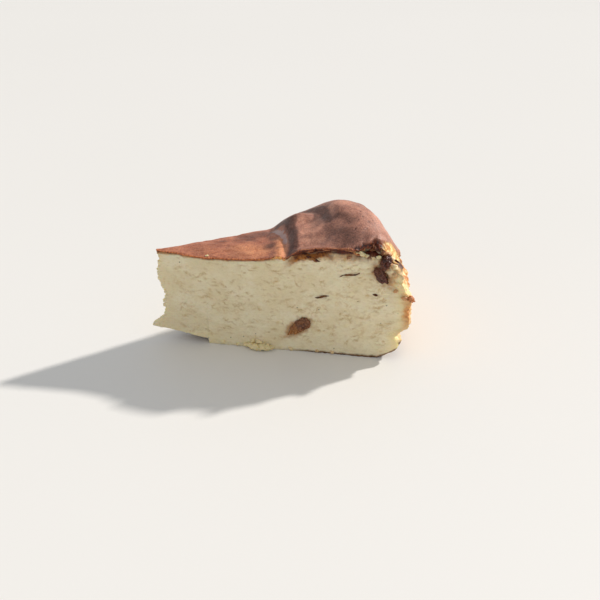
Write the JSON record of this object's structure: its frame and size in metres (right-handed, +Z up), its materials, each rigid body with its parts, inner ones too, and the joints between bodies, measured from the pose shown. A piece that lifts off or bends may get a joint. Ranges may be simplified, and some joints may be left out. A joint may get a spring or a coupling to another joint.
{
  "type": "cheesecake slice",
  "caption": "Slice of burnt-top baked cheesecake with a browned domed skin, a torn pale rim and soaked raisins showing at its cuts.",
  "frame": {"origin": "centre of the bounding box in plan, at the level of the base that the slice stands on", "axes": "+X from the slice's tip to its rim along the middle, +Z up"},
  "size_m": [0.0946, 0.0642, 0.0508],
  "materials": {
    "cheesecake": "moist baked curd, matte, with a browned satin skin on top",
    "raisin": "soaked raisin, dark, slightly glossy"
  },
  "bodies": {
    "root": {"cheesecake_slice": "cheesecake", "raisin_low_front": "raisin", "raisin_rim_upper": "raisin", "raisin_rim_lower": "raisin", "raisin_skin_long": "raisin", "raisin_skin_short": "raisin", "raisin_skin_dot": "raisin", "raisin_under_crust": "raisin", "raisin_back_low": "raisin", "raisin_back_skin": "raisin"}
  },
  "joints": []
}
